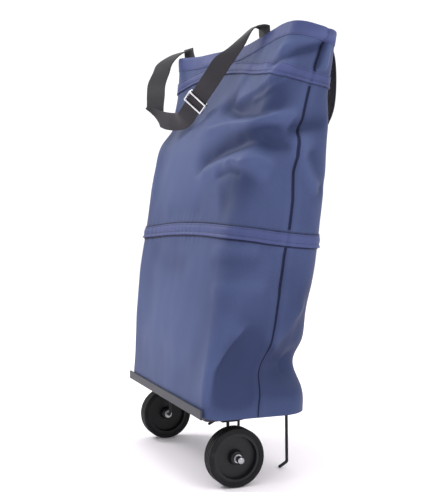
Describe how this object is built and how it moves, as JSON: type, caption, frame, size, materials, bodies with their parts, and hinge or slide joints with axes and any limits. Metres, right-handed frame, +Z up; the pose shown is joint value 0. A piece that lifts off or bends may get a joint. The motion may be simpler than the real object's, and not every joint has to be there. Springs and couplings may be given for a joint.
{
  "type": "wheeled shopping trolley bag",
  "caption": "Collapsible cloth shopping bag on a base tray with side wheels, fold-down rear stand legs, zip bands, webbing handles and a strap slide.",
  "frame": {"origin": "on the floor, under the middle of the trolley's whole outline", "axes": "+Z up, X across the bag along the wheel axles, -Y towards the front panel"},
  "size_m": [0.3132, 0.22, 0.5777],
  "materials": {
    "navy_cloth": "woven polyester, satin",
    "band_cloth": "woven polyester, folded double",
    "zip_teeth": "nylon coil",
    "webbing": "woven webbing",
    "chrome_wire": "polished",
    "zip_metal": "satin paint",
    "grey_plastic": "moulded, satin",
    "hardboard": "pressed fibre board",
    "rivet_metal": "turned",
    "black_wire": "black coated spring wire",
    "tyre": "moulded, matt",
    "wheel_plastic": "moulded, satin",
    "nylon_bush": "nylon",
    "chrome": "polished"
  },
  "bodies": {
    "base": {"base_tray": "grey_plastic", "front_edge_strip": "grey_plastic", "bottom_cloth": "navy_cloth", "base_board": "hardboard", "base_rivets": "rivet_metal", "lower_front_panel": "navy_cloth", "lower_back_panel": "navy_cloth", "middle_front_panel": "navy_cloth", "middle_back_panel": "navy_cloth", "middle_zip_band": "band_cloth", "lower_zip_teeth": "zip_teeth", "wheel_hinge_block_right": "grey_plastic", "wheel_hinge_pin_right": "black_wire", "stand_hinge_block_right": "grey_plastic", "stand_hinge_pin_right": "black_wire", "wheel_hinge_block_left": "grey_plastic", "wheel_hinge_pin_left": "black_wire", "stand_hinge_block_left": "grey_plastic", "stand_hinge_pin_left": "black_wire"},
    "bag_top": {"collar_front_panel": "navy_cloth", "collar_back_panel": "navy_cloth", "upper_zip_band": "band_cloth", "upper_zip_teeth": "zip_teeth", "rim_hem": "navy_cloth", "front_handle_tabs": "webbing", "back_handle_tabs": "webbing"},
    "front_handle": {"front_handle": "webbing"},
    "back_handle": {"back_handle": "webbing"},
    "handle_slider": {"handle_slider": "chrome_wire"},
    "zip_slider": {"zip_slider": "zip_metal"},
    "zip_pull": {"zip_pull": "zip_metal"},
    "wheel_leg_right": {"wheel_leg_right": "black_wire", "axle_washers_right": "chrome", "axle_cap_right": "chrome"},
    "wheel_right": {"tyre_right": "tyre", "wheel_disc_right": "wheel_plastic", "wheel_bush_right": "nylon_bush"},
    "stand_leg_right": {"stand_leg_right": "black_wire"},
    "wheel_leg_left": {"wheel_leg_left": "black_wire", "axle_washers_left": "chrome", "axle_cap_left": "chrome"},
    "wheel_left": {"tyre_left": "tyre", "wheel_disc_left": "wheel_plastic", "wheel_bush_left": "nylon_bush"},
    "stand_leg_left": {"stand_leg_left": "black_wire"}
  },
  "joints": [
    {"name": "wheel_leg_right_fold", "type": "hinge", "parent": "base", "child": "wheel_leg_right", "pos_m": [0.112, -0.0594, 0.079], "axis": [0, 1, 0], "range_deg": [0, 90]},
    {"name": "wheel_right_spin", "type": "hinge", "parent": "wheel_leg_right", "child": "wheel_right", "pos_m": [0.1325, -0.0594, 0.036], "axis": [1, 0, 0], "continuous": true},
    {"name": "stand_leg_right_fold", "type": "hinge", "parent": "base", "child": "stand_leg_right", "pos_m": [0.08, 0.0361, 0.079], "axis": [0, 1, 0], "range_deg": [0, 90]},
    {"name": "wheel_leg_left_fold", "type": "hinge", "parent": "base", "child": "wheel_leg_left", "pos_m": [-0.112, -0.0594, 0.079], "axis": [0, -1, 0], "range_deg": [0, 90]},
    {"name": "wheel_left_spin", "type": "hinge", "parent": "wheel_leg_left", "child": "wheel_left", "pos_m": [-0.1325, -0.0594, 0.036], "axis": [1, 0, 0], "continuous": true},
    {"name": "stand_leg_left_fold", "type": "hinge", "parent": "base", "child": "stand_leg_left", "pos_m": [-0.08, 0.0361, 0.079], "axis": [0, -1, 0], "range_deg": [0, 90]},
    {"name": "bag_fold", "type": "slide", "parent": "base", "child": "bag_top", "axis": [0, -0.2425, -0.9701], "range_m": [0, 0.185], "deforming": ["middle_front_panel", "middle_back_panel"]},
    {"name": "front_handle_swing", "type": "hinge", "parent": "bag_top", "child": "front_handle", "pos_m": [0.07, 0.0091, 0.575], "axis": [-0.9822, -0.1877, 0], "range_deg": [0, 150]},
    {"name": "back_handle_swing", "type": "hinge", "parent": "bag_top", "child": "back_handle", "pos_m": [0.07, 0.0796, 0.575], "axis": [0.9856, 0.169, 0], "range_deg": [0, 150]},
    {"name": "handle_slider_slide", "type": "slide", "parent": "front_handle", "child": "handle_slider", "axis": [0.7734, 0.2027, 0.6007], "range_m": [-0.006, 0.01]},
    {"name": "zip_slide", "type": "slide", "parent": "base", "child": "zip_slider", "axis": [0.9963, 0.0855, 0], "range_m": [0, 0.2]},
    {"name": "zip_pull_swing", "type": "hinge", "parent": "zip_slider", "child": "zip_pull", "pos_m": [-0.10584, 0.04952, 0.31], "axis": [0.9963, 0.0855, 0], "range_deg": [0, 150]}
  ]
}
